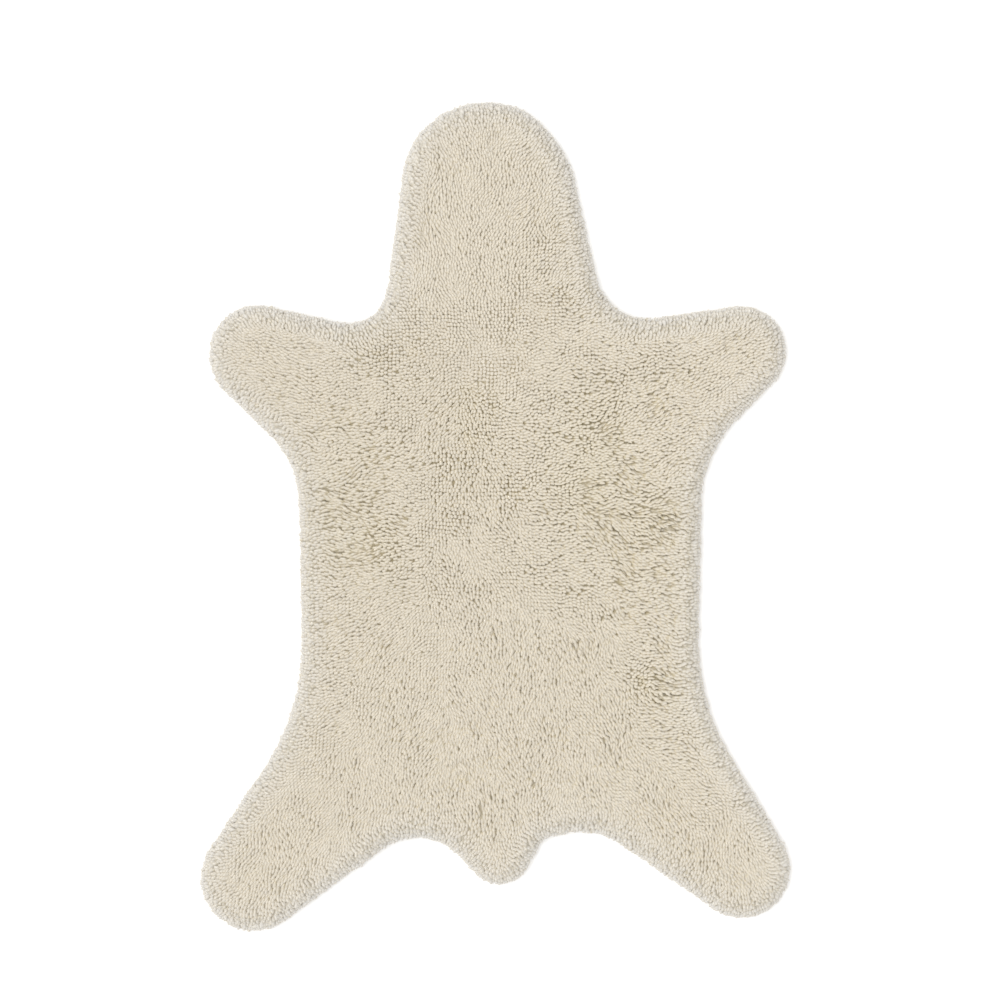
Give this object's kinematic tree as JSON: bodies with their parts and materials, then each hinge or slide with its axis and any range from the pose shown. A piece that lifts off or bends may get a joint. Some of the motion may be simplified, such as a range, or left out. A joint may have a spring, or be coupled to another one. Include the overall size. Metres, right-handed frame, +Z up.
{
  "type": "bear shaped kids rug",
  "caption": "Flat tufted wool rug cut in the outline of a spread bear hide, with a thick cream pile that fans out and down at its rim.",
  "frame": {"origin": "on the ground under the middle of the rug's length and width", "axes": "+X across the rug, +Y along it towards the head, +Z up out of the pile"},
  "size_m": [0.8562, 1.2018, 0.0263],
  "materials": {
    "wool_pile": "undyed cream wool yarn, cut pile, matt"
  },
  "bodies": {
    "root": {"pile_rug": "wool_pile"}
  },
  "joints": []
}
